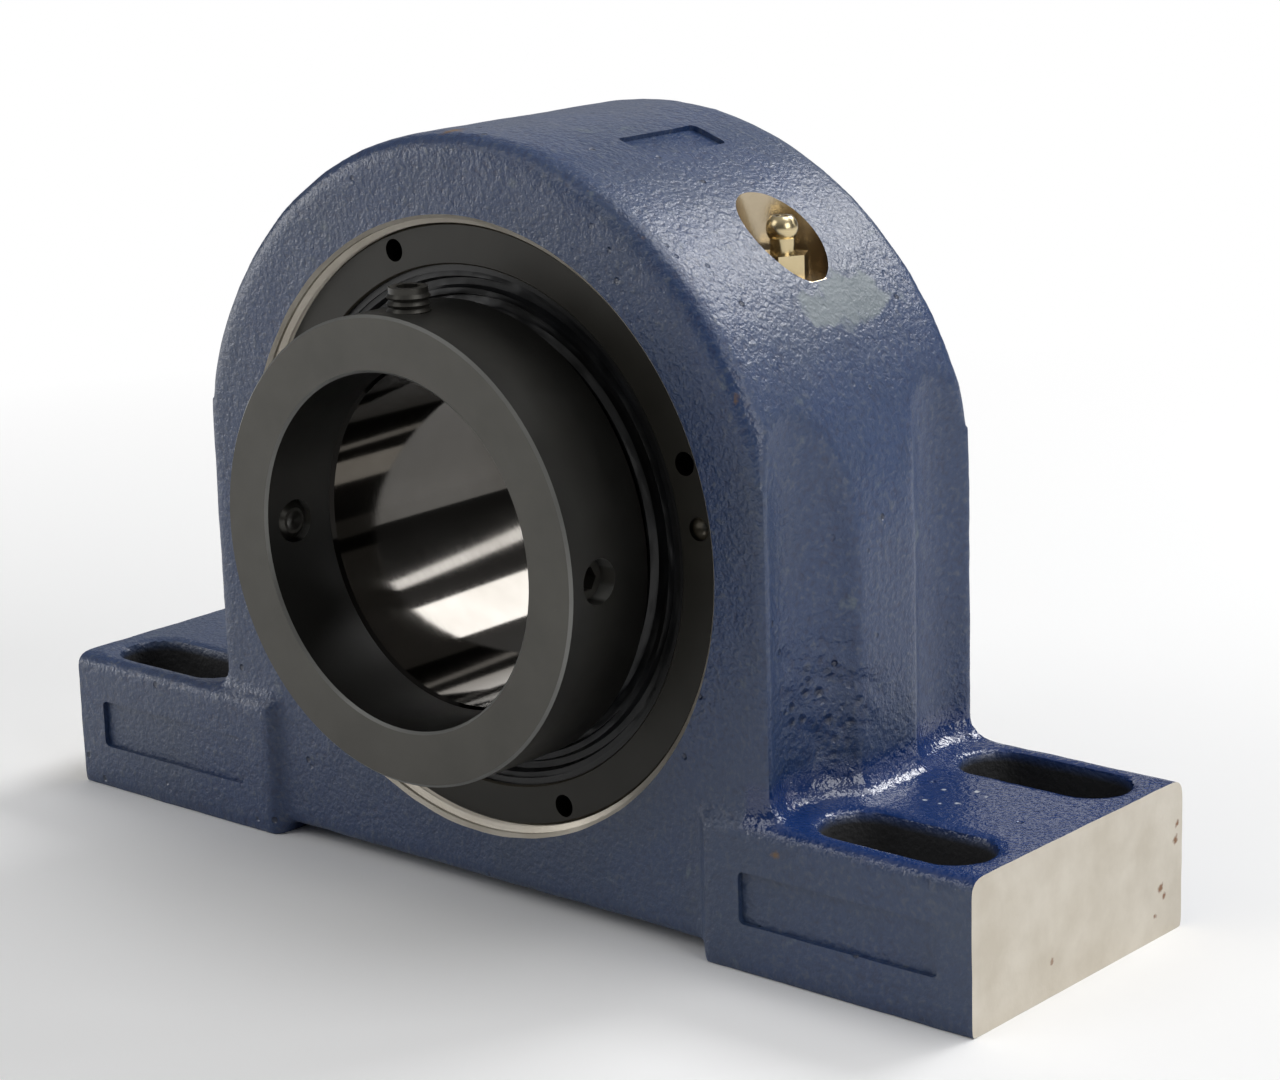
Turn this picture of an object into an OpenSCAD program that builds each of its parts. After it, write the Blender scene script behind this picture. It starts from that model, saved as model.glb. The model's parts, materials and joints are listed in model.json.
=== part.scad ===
// Pillow block bearing: cast housing with a sealed self-aligning roller bearing and a locking collar.
// All sizes are in millimetres. The shaft axis runs along Y and the mounting plane is Z = 0.

/* [Housing] */
// Length of the base over both feet
base_length = 266.7; // [262:0.1:280]
// Depth of the feet along the shaft
foot_depth = 76.2; // [74:0.1:82]
// Height of the feet
foot_height = 33; // [28:0.5:38]
// Height of the shaft axis above the mounting plane
axis_height = 82.55; // [81:0.05:92]
// Outer radius of the arch about the shaft axis
arch_radius = 85.7; // [84:0.1:90]
// Depth of the body along the shaft
body_depth = 71; // [69:0.1:73]
// Distance from the middle to the inner end of each foot pad
pad_start = 64.2; // [60:0.2:68]
// Height of the relief under the middle of the base
relief_height = 3; // [2:0.25:5]
// Rounding of the cast edges of the body
edge_radius = 4; // [3:0.5:5]
// Radius of the hollows that clear the bolt heads
scallop_radius = 19; // [17:0.5:20]

/* [Mounting slots] */
// Wall between each slot and the end of the foot
slot_end_wall = 5.35; // [4:0.05:10]
// Distance of each slot from the upright side
slot_root_gap = 2.3; // [1.5:0.1:4]
// Distance between slot centres along the shaft
slot_spacing_y = 49; // [47:0.5:50]
// Width of each slot
slot_width = 17; // [13:0.5:18]

/* [Bearing] */
// Diameter of the shaft
shaft_diameter = 76.2; // [60:0.1:77]
// Diameter of the bearing seat in the housing
seat_diameter = 130; // [128:0.5:131]
// Width of the outer ring
ring_width = 46; // [45:0.5:47]
// Rollers in each row
roller_count = 18; // [12:1:19]
// Length of each roller
roller_length = 14; // [11:0.5:14]
// Contact angle of the rows in degrees
contact_angle = 12.8; // [12.5:0.1:13.2]
// Reach of the inner ring behind the housing
rear_reach = 6.5; // [3:0.5:12]

/* [Collar and cover] */
// Diameter of the locking collar
collar_diameter = 101.6; // [99:0.1:104]
// Width of the locking collar
collar_width = 24; // [22:0.5:30]
// Depth of the cover face below the housing face
cover_recess = 3.1; // [2:0.1:3.5]
// Diameter of the spanner holes in the cover
spanner_hole = 5; // [3:0.25:6]
// Turn of the spanner holes about the shaft in degrees
cover_turn = 20.5; // [0:0.5:90]
// Diameter of the set screws
screw_diameter = 9.5; // [7:0.25:10.5]
// Length of the set screws
screw_length = 8.5; // [7:0.5:11]
// How far the upper set screw stands out of the collar
screw_standing = 5; // [0:0.5:6]

/* [Grease point] */
// Diameter of the grease pocket
pocket_diameter = 19; // [17:0.5:20]
// Distance of the grease pocket from the middle
pocket_x = 56.5; // [54:0.5:58]
// Depth of the grease pocket below the arch
pocket_depth = 9.6; // [8:0.1:12]
// Width across flats of the grease fitting
fitting_flats = 10; // [8:0.5:11]

/* [Hidden] */
$fn = 96;
// The bearing sits slightly behind the middle of the housing.
bearing_y = 3;
front_y = -body_depth / 2;
rear_y = body_depth / 2;
ring_front = bearing_y - ring_width / 2;
ring_rear = bearing_y + ring_width / 2;
seat_radius = seat_diameter / 2;
seat_clearance = 0.02;
bore_radius = shaft_diameter / 2;
// The rings and rollers share the room between the shaft and the seat.
plain_seat = 65;
plain_section = 26.9;
plain_wall = 6.5;
plain_cover = 7.6;
seat_scale = seat_radius / plain_seat;
section_scale = min(seat_scale, (seat_radius - bore_radius) / plain_section);
roller_scale = (seat_scale + section_scale) / 2;
// Thread of the cover
thread_radius = seat_radius + 1.5;
thread_depth = 1.2;
thread_pitch = 1.6;
thread_clearance = 0.15;
thread_runout = 1.5;
mouth_chamfer = 0.8;
mouth_radius = thread_radius + thread_depth + mouth_chamfer;
cover_face = front_y + cover_recess;
cover_edge = 0.4;
thread_first = front_y + mouth_chamfer;
thread_turns = floor((ring_front - thread_first) / thread_pitch);
cover_first = ceil((cover_face + cover_edge - thread_first) / thread_pitch);
cover_bore = seat_radius - plain_cover * section_scale;
spanner_radius = (thread_radius + cover_bore) / 2 + 0.8;
spanner_depth = 6;
stake_turn = 12.5;
// Rolling parts
race_gap = 0.3;
ring_wall = plain_wall * roller_scale;
race_radius = seat_radius - ring_wall;
roller_place = race_radius - ring_wall;
roller_arc = race_radius - race_gap;
groove_place = 2 * roller_place;
groove_half = roller_length / 2 + race_gap;
pocket_gap = 0.3;
cage_thickness = 3;
cage_half = roller_length / 2 + 2;
plain_land = 5;
plain_shoulder = 6;
land_width = 10 * section_scale;
land_drop = plain_land * section_scale;
shoulder_drop = plain_shoulder * section_scale;
groove_reach = 22;
ring_shoulder = roller_place - shoulder_drop;
ring_land = roller_place - land_drop;
guide_thickness = 2.1;
guide_play = 0.05;
guide_inner = ring_land + race_gap;
guide_outer = guide_inner + guide_thickness;
end_foot = roller_place * sin(contact_angle) - roller_length / 2 * cos(contact_angle);
end_height = roller_place * cos(contact_angle) + roller_length / 2 * sin(contact_angle);
guide_side = end_foot - (end_height - guide_inner) * tan(contact_angle) - race_gap - guide_play;
groove_width = 10;
groove_depth = 1.8;
grease_hole = 4;
// Inner ring and collar
inner_front = front_y - 4.5;
inner_rear = rear_y + rear_reach;
collar_bore = bore_radius + 0.5;
collar_fit = 0.05;
collar_radius = collar_diameter / 2;
collar_rear = front_y + 0.5;
collar_front = collar_rear - collar_width;
screw_fit = 0.05;
screw_y = (collar_front + inner_front) / 2 - 1;
screw_radius = screw_diameter / 2;
screw_pitch = 1.5;
screw_thread = 0.55;
screw_clear = 0.25;
hex_ratio = 2 / sqrt(3);
// Seals
case_wall = 1.35;
case_fit = 0.03;
case_length = 8;
case_flange = 5.5 * section_scale;
case_inset = 1;
front_case_y = cover_face + case_inset;
rear_case_y = rear_y - case_inset;
lip_gap = 0.95;
lip_radius = ring_shoulder + lip_gap;
// Housing details
slot_outer = base_length / 2 - slot_end_wall;
slot_inner = arch_radius + slot_root_gap;
slot_length = slot_outer - slot_inner;
slot_x = (slot_outer + slot_inner) / 2;
slot_y = slot_spacing_y / 2;
scallop_shift = 1.3;
scallop_x = slot_inner + slot_width / 2 + scallop_shift;
scallop_reach = sqrt(pow(scallop_radius, 2) - pow(scallop_x - arch_radius, 2));
land_half = slot_y - scallop_reach;
fillet_radius = 5;
fillet_inset = 0.6;
corner_inset = 0.3;
foot_edge = 3;
foot_step = 2.4;
panel_end = 8.35;
panel_start = 10.8;
panel_outer = base_length / 2 - panel_end;
panel_inner = pad_start + panel_start;
panel_length = panel_outer - panel_inner;
panel_x = (panel_outer + panel_inner) / 2;
panel_height = 11.4;
panel_depth = 1.2;
panel_z = foot_height / 2;
mark_angle = 71.8;
mark_length = 25;
mark_width = 10;
// Grease pocket
pocket_radius = pocket_diameter / 2;
pocket_y = bearing_y + 0.5;
pocket_wall = 4.5;
pocket_edge = pocket_x - pocket_radius;
arch_above = axis_height + sqrt(pow(arch_radius, 2) - pow(pocket_x, 2));
seat_above = axis_height + sqrt(pow(seat_radius + pocket_wall, 2) - pow(pocket_edge, 2));
pocket_floor = max(arch_above - pocket_depth, seat_above);
passage_drop = 10;
passage_start = axis_height + sqrt(pow(seat_radius, 2) - pow(pocket_x, 2)) - passage_drop;
fitting_thread = 4;
fitting_depth = 6;
fitting_hex = 5;
fitting_neck = 2.6;
fitting_head = 3.4;
fitting_rise = 5.2;
head_centre = pocket_floor + fitting_hex + fitting_rise;
ball_radius = 1.2;
ball_bore = 1.3;
ball_seat = 0.8;
ball_floor = head_centre + 0.4;

module about_axis() {
    translate([0, 0, axis_height]) rotate([-90, 0, 0]) children();
}

module rounded_rect(width, depth, radius) {
    square([width - 2 * radius, depth], center = true);
    square([width, depth - 2 * radius], center = true);
    for (x = [-1, 1], y = [-1, 1])
        translate([x * (width / 2 - radius), y * (depth / 2 - radius)]) circle(r = radius);
}

module slot_shape() {
    square([slot_length - slot_width, slot_width], center = true);
    for (x = [-1, 1]) translate([x * (slot_length - slot_width) / 2, 0]) circle(d = slot_width);
}

module arch_profile() {
    intersection() {
        rounded_rect(2 * arch_radius, body_depth, edge_radius);
        translate([0, -body_depth]) square([2 * arch_radius, 2 * body_depth]);
    }
}

// Upright body with its rounded arch, hollowed at the sides to clear the bolt heads
module body() {
    difference() {
        union() {
            about_axis() rotate([0, 0, 180]) rotate_extrude(angle = 180) arch_profile();
            translate([0, 0, relief_height])
                linear_extrude(height = axis_height - relief_height)
                    rounded_rect(2 * arch_radius, body_depth, edge_radius);
        }
        for (x = [-1, 1], y = [-1, 1]) translate([x * scallop_x, y * slot_y, foot_height])
            cylinder(r = scallop_radius, h = 2 * arch_radius);
    }
}

// Foot block with rounded long edges and a plain machined end
module foot_section() {
    translate([0, foot_height / 2]) {
        rounded_rect(foot_depth, foot_height, foot_edge);
        translate([-foot_depth / 2, -foot_height / 2])
            square([foot_depth, foot_height / 2]);
    }
}

module foot(side) {
    intersection() {
        translate([side * (pad_start + base_length / 2) / 2, 0, 0])
            linear_extrude(height = foot_height)
                union() {
                    rounded_rect(base_length / 2 - pad_start, foot_depth, foot_step);
                    translate([side * (base_length / 2 - pad_start) / 4, 0])
                        square([(base_length / 2 - pad_start) / 2, foot_depth], center = true);
                }
        translate([-base_length / 2, 0, 0])
            rotate([90, 0, 90]) linear_extrude(height = base_length) foot_section();
    }
}

// Section of the fillet at the foot of the sides, standing against a wall at x = 0
module fillet_section() {
    difference() {
        translate([-fillet_radius, -1]) square([fillet_radius + 1, fillet_radius + 1]);
        translate([-fillet_radius, fillet_radius]) circle(r = fillet_radius);
    }
}

// Fillet turned about an upright corner
module corner_fillet() {
    rotate_extrude() intersection() {
        mirror([1, 0]) fillet_section();
        translate([0, -1]) square([fillet_radius, fillet_radius + 1]);
    }
}

// Fillets around the hollows and along the flat between them
module flank_fillets(side) {
    inner = scallop_x - scallop_radius - fillet_radius;
    depth = body_depth - 2 * fillet_inset;
    intersection() {
        for (y = [-1, 1]) translate([side * scallop_x, y * slot_y, foot_height])
            rotate_extrude() translate([scallop_radius, 0]) fillet_section();
        translate([side > 0 ? inner : -arch_radius, -depth / 2, foot_height - 1])
            cube([arch_radius - inner, depth, 3 * fillet_radius]);
    }
    translate([side * arch_radius, land_half, foot_height]) rotate([90, 0, 0])
        linear_extrude(height = 2 * land_half)
            mirror([side > 0 ? 1 : 0, 0]) fillet_section();
    for (y = [-1, 1])
        translate([side * (arch_radius - corner_inset), y * (land_half - corner_inset), foot_height])
            corner_fillet();
}

// Bores, thread and chamfers of the housing, cut as one turned shape
module housing_bores() {
    grooves = [for (i = [0 : thread_turns - 1]) each [
        [thread_radius, thread_first + i * thread_pitch],
        [thread_radius + thread_depth, thread_first + (i + 0.5) * thread_pitch]
    ]];
    about_axis() rotate_extrude() polygon(concat(
        [[0, front_y - 1], [mouth_radius + 1, front_y - 1],
            [mouth_radius - mouth_chamfer, front_y + mouth_chamfer]],
        grooves,
        [[thread_radius, thread_first + thread_turns * thread_pitch],
            [thread_radius, ring_front + thread_runout],
            [seat_radius, ring_front + thread_runout],
            [seat_radius, ring_rear],
            [cover_bore, ring_rear],
            [cover_bore, rear_y - 1],
            [cover_bore + 2, rear_y + 1],
            [0, rear_y + 1]]
    ));
}

module base_relief() {
    translate([0, foot_depth, 0]) rotate([90, 0, 0]) linear_extrude(height = 2 * foot_depth)
        polygon([
            [-pad_start, -1], [-pad_start, relief_height * 0.4],
            [-pad_start + relief_height, relief_height],
            [pad_start - relief_height, relief_height],
            [pad_start, relief_height * 0.4], [pad_start, -1]
        ]);
}

module grease_pocket() {
    translate([pocket_x, pocket_y, pocket_floor]) cylinder(r = pocket_radius, h = arch_radius);
    translate([pocket_x, pocket_y, pocket_floor - fitting_depth - 1])
        cylinder(r = fitting_thread, h = fitting_depth + 2);
    translate([pocket_x, pocket_y, passage_start])
        cylinder(d = grease_hole, h = pocket_floor - passage_start);
}

module housing() {
    color([0.16, 0.23, 0.45]) difference() {
        union() {
            body();
            for (side = [-1, 1]) {
                foot(side);
                flank_fillets(side);
            }
        }
        housing_bores();
        base_relief();
        for (x = [-1, 1], y = [-1, 1]) translate([x * slot_x, y * slot_y, -1])
            linear_extrude(height = foot_height + 2) slot_shape();
        for (x = [-1, 1]) translate([x * panel_x, -foot_depth / 2, panel_z])
            cube([panel_length, 2 * panel_depth, panel_height], center = true);
        translate([0, 0, axis_height]) rotate([0, -mark_angle, 0])
            translate([arch_radius, bearing_y + 1, 0])
                cube([2 * panel_depth, mark_length, mark_width], center = true);
        grease_pocket();
    }
}

module threaded_cover() {
    outer = thread_radius - thread_clearance;
    ridges = [for (i = [cover_first : thread_turns - 1]) each [
        [outer, thread_first + i * thread_pitch],
        [outer + thread_depth, thread_first + (i + 0.5) * thread_pitch]
    ]];
    color([0.2, 0.2, 0.18]) difference() {
        about_axis() rotate_extrude() polygon(concat(
            [[cover_bore, cover_face + cover_edge], [cover_bore + cover_edge, cover_face],
                [outer - cover_edge, cover_face], [outer, cover_face + cover_edge]],
            ridges,
            [[outer, thread_first + thread_turns * thread_pitch], [outer, ring_front],
                [cover_bore, ring_front]]
        ));
        about_axis() for (i = [0 : 3]) rotate([0, 0, -cover_turn + 90 * i])
            translate([spanner_radius, 0, cover_face - 1]) cylinder(d = spanner_hole, h = spanner_depth + 1);
        // Staked spot that keeps the cover from turning
        about_axis() rotate([0, 0, stake_turn - cover_turn]) translate([spanner_radius, 0, cover_face])
            sphere(r = spanner_hole / 2);
    }
}

module outer_ring() {
    radius = seat_radius - seat_clearance;
    color([0.7, 0.7, 0.72]) difference() {
        about_axis() rotate_extrude() difference() {
            translate([0, ring_front]) polygon([
                [race_radius * 0.8, 0], [radius - 1, 0], [radius, 1],
                [radius, ring_width / 2 - groove_width / 2],
                [radius - groove_depth, ring_width / 2 - groove_width / 2],
                [radius - groove_depth, ring_width / 2 + groove_width / 2],
                [radius, ring_width / 2 + groove_width / 2],
                [radius, ring_width - 1], [radius - 1, ring_width],
                [race_radius * 0.8, ring_width]
            ]);
            translate([0, bearing_y]) circle(r = race_radius);
        }
        about_axis() for (i = [0 : 3]) rotate([0, 0, 90 * i - 36])
            translate([race_radius - ring_wall, 0, bearing_y]) rotate([0, 90, 0])
                cylinder(d = grease_hole, h = 3 * ring_wall);
    }
}

module inner_ring() {
    color([0.75, 0.75, 0.77]) about_axis() rotate_extrude() difference() {
        union() {
            polygon([
                [bore_radius, inner_front + 1], [bore_radius + 1, inner_front],
                [ring_shoulder - 1, inner_front], [ring_shoulder, inner_front + 1],
                [ring_shoulder, inner_rear - 1], [ring_shoulder - 1, inner_rear],
                [bore_radius + 1, inner_rear], [bore_radius, inner_rear - 1]
            ]);
            translate([ring_shoulder - land_drop, bearing_y - land_width / 2])
                square([ring_land - ring_shoulder + land_drop, land_width]);
        }
        for (row = [-1, 1]) translate([0, bearing_y]) rotate(row * contact_angle)
            intersection() {
                translate([groove_place, 0]) circle(r = race_radius);
                translate([roller_place - groove_reach, -groove_half])
                    square([groove_reach, 2 * groove_half]);
            }
    }
}

module barrel(extra) {
    rotate_extrude() intersection() {
        translate([-roller_place, 0]) circle(r = roller_arc + extra);
        translate([0, -roller_length / 2 - extra]) square([roller_place / 2, roller_length + 2 * extra]);
    }
}

module row_of_barrels(row, extra) {
    about_axis() for (i = [0 : roller_count - 1]) rotate([0, 0, 360 * (i + (row + 1) / 4) / roller_count])
        translate([0, 0, bearing_y]) rotate([0, -row * contact_angle, 0])
            translate([roller_place, 0, 0]) barrel(extra);
}

module cage(row) {
    difference() {
        about_axis() rotate_extrude() translate([0, bearing_y]) rotate(row * contact_angle)
            translate([roller_place - cage_thickness / 2, -cage_half])
                square([cage_thickness, 2 * cage_half]);
        row_of_barrels(row, pocket_gap);
    }
}

module front_rollers() {
    color([0.78, 0.78, 0.8]) row_of_barrels(-1, 0);
}

module rear_rollers() {
    color([0.78, 0.78, 0.8]) row_of_barrels(1, 0);
}

module front_cage() {
    color([0.7, 0.55, 0.25]) cage(-1);
}

module rear_cage() {
    color([0.7, 0.55, 0.25]) cage(1);
}

module guide_ring() {
    color([0.6, 0.6, 0.62]) about_axis() rotate_extrude()
        translate([guide_inner, bearing_y - guide_side])
            square([guide_outer - guide_inner, 2 * guide_side]);
}

// Steel case of a seal, lying from its open end at zero towards positive y
module seal_case_profile() {
    outer = cover_bore - case_fit;
    polygon([
        [outer - case_wall, 0], [outer, 0], [outer, case_length - 1], [outer - 1, case_length],
        [outer - case_wall - case_flange, case_length],
        [outer - case_wall - case_flange, case_length - case_wall],
        [outer - case_wall, case_length - case_wall]
    ]);
}

// Ridged rubber seal held in the case
module seal_profile() {
    outer = cover_bore - case_fit - case_wall;
    back = case_length - case_wall;
    unit = section_scale;
    polygon([
        [outer, back], [outer, 0.5], [outer - 1.2 * unit, 0.5], [outer - 1.8 * unit, 2],
        [outer - 3.2 * unit, 2], [outer - 3.8 * unit, 0.8], [outer - 5 * unit, 0.8],
        [outer - 5.6 * unit, 2.4], [lip_radius + 1.6 * unit, 2], [lip_radius + 0.5, 0.6],
        [lip_radius, 0.6], [lip_radius, 1.4], [lip_radius + 1.3 * unit, 3.4], [lip_radius, 5],
        [lip_radius, 5.6], [lip_radius + 1.6 * unit, back]
    ]);
}

module front_seal_case() {
    color([0.3, 0.3, 0.3]) about_axis() rotate_extrude() translate([0, front_case_y]) seal_case_profile();
}

module front_seal() {
    color([0.05, 0.05, 0.05]) about_axis() rotate_extrude() translate([0, front_case_y]) seal_profile();
}

module rear_seal_case() {
    color([0.3, 0.3, 0.3]) about_axis() rotate_extrude()
        translate([0, rear_case_y]) mirror([0, 1]) seal_case_profile();
}

module rear_seal() {
    color([0.05, 0.05, 0.05]) about_axis() rotate_extrude()
        translate([0, rear_case_y]) mirror([0, 1]) seal_profile();
}

module locking_collar() {
    fit = ring_shoulder + collar_fit;
    color([0.15, 0.15, 0.15]) difference() {
        about_axis() rotate_extrude() polygon([
            [collar_bore, collar_front + 0.6], [collar_bore + 0.6, collar_front],
            [collar_radius - 0.6, collar_front], [collar_radius, collar_front + 0.6],
            [collar_radius, collar_rear - 0.6], [collar_radius - 0.6, collar_rear],
            [fit, collar_rear], [fit, inner_front - collar_fit], [collar_bore, inner_front - collar_fit]
        ]);
        about_axis() for (turn = [0, 90, 180]) rotate([0, 0, -turn])
            translate([0, 0, screw_y]) rotate([0, 90, 0])
                cylinder(r = screw_radius + screw_fit, h = 2 * collar_radius);
    }
}

// Set screw along x from its tip, with thread ridges and a hexagon socket
module screw_solid() {
    turns = floor((screw_length - 2) / screw_pitch);
    root = screw_radius - screw_thread;
    socket = screw_diameter * 0.5;
    ridges = [for (i = [0 : turns - 1]) each [
        [root, 1.2 + i * screw_pitch], [screw_radius, 1.2 + (i + 0.5) * screw_pitch]
    ]];
    rotate([0, 90, 0]) difference() {
        rotate_extrude() polygon(concat(
            [[0, 0.8], [screw_radius * 0.45, 0], [screw_radius * 0.6, 0]],
            ridges,
            [[root, 1.2 + turns * screw_pitch], [root, screw_length], [0, screw_length]]
        ));
        translate([0, 0, screw_length * 0.5])
            cylinder(d = socket * hex_ratio, h = screw_length, $fn = 6);
    }
}

module set_screw(turn, lift) {
    color([0.12, 0.12, 0.12]) about_axis() rotate([0, 0, -turn])
        translate([collar_bore + screw_clear + lift, 0, screw_y]) screw_solid();
}

module set_screw_right() {
    set_screw(0, 0);
}

module set_screw_top() {
    set_screw(90, collar_radius - collar_bore - screw_clear - screw_length + screw_standing);
}

module set_screw_left() {
    set_screw(180, 0);
}

module grease_fitting() {
    color([0.8, 0.65, 0.3]) translate([pocket_x, pocket_y, 0]) difference() {
        union() {
            translate([0, 0, pocket_floor - fitting_depth])
                cylinder(r = fitting_thread - 0.05, h = fitting_depth);
            translate([0, 0, pocket_floor])
                cylinder(d = fitting_flats * hex_ratio, h = fitting_hex, $fn = 6);
            translate([0, 0, pocket_floor + fitting_hex - 1])
                cylinder(r = fitting_neck, h = head_centre - pocket_floor - fitting_hex + 1);
            intersection() {
                translate([0, 0, head_centre]) sphere(r = fitting_head);
                translate([0, 0, head_centre - 2]) cylinder(r = fitting_head + 1, h = 4.6);
            }
        }
        translate([0, 0, pocket_floor - fitting_depth - 1])
            cylinder(r = ball_seat, h = fitting_depth + fitting_hex + 4 * fitting_rise);
        translate([0, 0, ball_floor]) cylinder(r = ball_bore, h = 2 * fitting_rise);
    }
}

module grease_ball() {
    rest = ball_floor + sqrt(pow(ball_radius, 2) - pow(ball_seat, 2)) + 0.02;
    color([0.8, 0.8, 0.82]) translate([pocket_x, pocket_y, rest]) sphere(r = ball_radius);
}

housing();
threaded_cover();
outer_ring();
inner_ring();
front_rollers();
rear_rollers();
front_cage();
rear_cage();
guide_ring();
front_seal_case();
front_seal();
rear_seal_case();
rear_seal();
locking_collar();
set_screw_right();
set_screw_top();
set_screw_left();
grease_fitting();
grease_ball();
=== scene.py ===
import json
import math

import bmesh
import bpy
import numpy as np
from mathutils import Matrix, Vector, noise


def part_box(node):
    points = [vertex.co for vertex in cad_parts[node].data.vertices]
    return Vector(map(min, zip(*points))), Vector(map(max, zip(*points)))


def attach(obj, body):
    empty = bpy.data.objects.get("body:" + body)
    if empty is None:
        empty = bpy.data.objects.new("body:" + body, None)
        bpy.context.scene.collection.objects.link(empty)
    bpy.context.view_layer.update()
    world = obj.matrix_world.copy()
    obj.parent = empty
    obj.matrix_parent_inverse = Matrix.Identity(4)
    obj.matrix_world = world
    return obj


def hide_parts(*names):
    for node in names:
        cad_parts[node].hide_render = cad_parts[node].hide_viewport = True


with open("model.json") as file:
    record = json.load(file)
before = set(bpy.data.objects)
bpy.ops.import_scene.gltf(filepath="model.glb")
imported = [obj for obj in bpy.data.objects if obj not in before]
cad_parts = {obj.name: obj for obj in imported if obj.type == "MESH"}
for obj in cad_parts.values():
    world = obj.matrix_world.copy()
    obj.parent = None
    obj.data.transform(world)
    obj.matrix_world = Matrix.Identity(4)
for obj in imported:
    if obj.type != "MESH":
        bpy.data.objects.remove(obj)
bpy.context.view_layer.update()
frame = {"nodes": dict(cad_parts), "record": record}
NODES = frame["nodes"]
MOUNTS = {mount["name"]: mount for mount in frame["record"]["mounts"]}
MM = 0.001

# Sizes of the housing, from the frame where it gives them
AXIS_Z = MOUNTS["shaft_bore"]["pos_m"][2]
BORE_RADIUS = MOUNTS["shaft_bore"]["dims"]["r_mm"] * MM
BOLTS = MOUNTS["base_bolts"]["dims"]
SLOT_X = BOLTS["spacing_x_mm"] / 2 * MM
SLOT_Y = BOLTS["spacing_y_mm"] / 2 * MM
SLOT_RADIUS = BOLTS["hole_r_mm"] * MM
SLOT_LENGTH = BOLTS["slot_length_mm"] * MM
HALF_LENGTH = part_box("housing")[1][0]
FOOT_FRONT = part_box("housing")[0][1]
FOOT_HEIGHT = 33 * MM
ARCH_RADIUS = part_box("housing")[1][2] - AXIS_Z
BODY_DEPTH = 71 * MM

# Threaded front bore, bearing seat and rear bore
RING_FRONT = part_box("outer_ring")[0][1]
RING_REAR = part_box("outer_ring")[1][1]
SEAT_RADIUS = 65 * MM
THREAD_RADIUS = 66.5 * MM
THREAD_DEPTH = 1.2 * MM
THREAD_PITCH = 1.6 * MM
THREAD_RUNOUT = 1.5 * MM
MOUTH_CHAMFER = 0.8 * MM
MOUTH_RADIUS = THREAD_RADIUS + THREAD_DEPTH + MOUTH_CHAMFER
REAR_BORE = 57.4 * MM
REAR_CHAMFER = 1 * MM
REAR_BARE_WIDTH = 1.6 * MM
CUT_OVERRUN = 1 * MM

# Pocket of the grease fitting
POCKET_X = 56.5 * MM
POCKET_Y = 3.5 * MM
POCKET_RADIUS = 9.5 * MM
POCKET_BASE = AXIS_Z + 20 * MM
FITTING_DEPTH = 6 * MM
FITTING_SPARE = 1 * MM
POCKET_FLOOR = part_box("grease_fitting")[0][2] + FITTING_DEPTH
FITTING_HOLE = 4 * MM
GREASE_HOLE = 2 * MM

# Shallow recesses on the feet and the arch
PANEL_X = 100 * MM
PANEL_Z = FOOT_HEIGHT / 2
PANEL_SIZE = (50 * MM, 11.4 * MM)
MARK_ANGLE = math.radians(71.8)
MARK_Y = 4 * MM
MARK_SIZE = (10 * MM, 25 * MM)
RECESS_DEPTH = 1.2 * MM
RECESS_CORNER = 1.3 * MM

# Closeness for telling faces apart
WELD = 0.001 * MM
FLAT_CLOSE = 0.01 * MM
RECESS_CLOSE = 0.02 * MM
END_CLOSE = 0.05 * MM
ROUND_CLOSE = 0.1 * MM
FLOOR_CLOSE = 0.2 * MM

# Cast skin
VOXEL = 1.4 * MM
SMOOTH_STEPS = 5
LUMPS = ((11 * MM, 0.14 * MM), (4.5 * MM, 0.09 * MM))
END_ALLOWANCE = 6 * MM
LATHE_STEPS = 256
SHARP_ANGLE = math.radians(38)

# Group of pits low on the right-hand side, with its middle given as (y, z)
PIT_COUNT = 30
PIT_SEED = 5
PIT_DEPTH = 0.6 * MM
PIT_DEPTH_SHARE = (0.4, 1.0)
PIT_RADIUS_MM = (0.9, 1.9)
PIT_PLACE = (-18 * MM, 51 * MM)
PIT_SPREAD = 8.5 * MM
PIT_SIDE_X = 74 * MM
POCKED_SIDE_X = 72 * MM

# Wet-looking paint on the right foot starts here
GLOSS_SIDE_X = 76 * MM
# Scuffed patch beside the grease pocket, on the arch
SCUFF_ANGLE = math.radians(35.5)
SCUFF_Y = 9 * MM
SCUFF_SIZE = (6 * MM, 13 * MM)
# The collar darkens towards the housing between these two places along the shaft: painted shade
HOUSING_SHADE_START = -54 * MM
HOUSING_SHADE_END = -42 * MM
# Painted shade: the collar's bore darkens from the first of these radii to the second
BORE_SHADE_START = BORE_RADIUS + 7 * MM
BORE_SHADE_END = BORE_RADIUS + 5 * MM
# The inner ring counts as outside beyond this radius
BORE_WALL = BORE_RADIUS + 1.2 * MM

# Rust spots on the right foot end (x, y, z, radius)
END_SPOTS = (
    (HALF_LENGTH, 35.4 * MM, 20.0 * MM, 1.9 * MM),
    (HALF_LENGTH, 36.3 * MM, 23.5 * MM, 1.4 * MM),
    (HALF_LENGTH, 30.0 * MM, 11.0 * MM, 2.0 * MM),
    (HALF_LENGTH, 31.4 * MM, 8.8 * MM, 1.3 * MM),
    (HALF_LENGTH, 27.9 * MM, 5.2 * MM, 1.2 * MM),
    (HALF_LENGTH, -10.4 * MM, 7.7 * MM, 1.3 * MM),
)
# Rust specks on the paint (x, y, z, radius)
PAINT_SPOTS = (
    (51.4 * MM, -35.5 * MM, 151.2 * MM, 2.4 * MM),
    (56.4 * MM, -35.5 * MM, 146.2 * MM, 2.0 * MM),
    (84.9 * MM, -38.1 * MM, 27.9 * MM, 1.8 * MM),
    (-4.0 * MM, -30.5 * MM, 167.6 * MM, 4.5 * MM),
    (75.0 * MM, -35.5 * MM, 120.3 * MM, 2.0 * MM),
)
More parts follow.
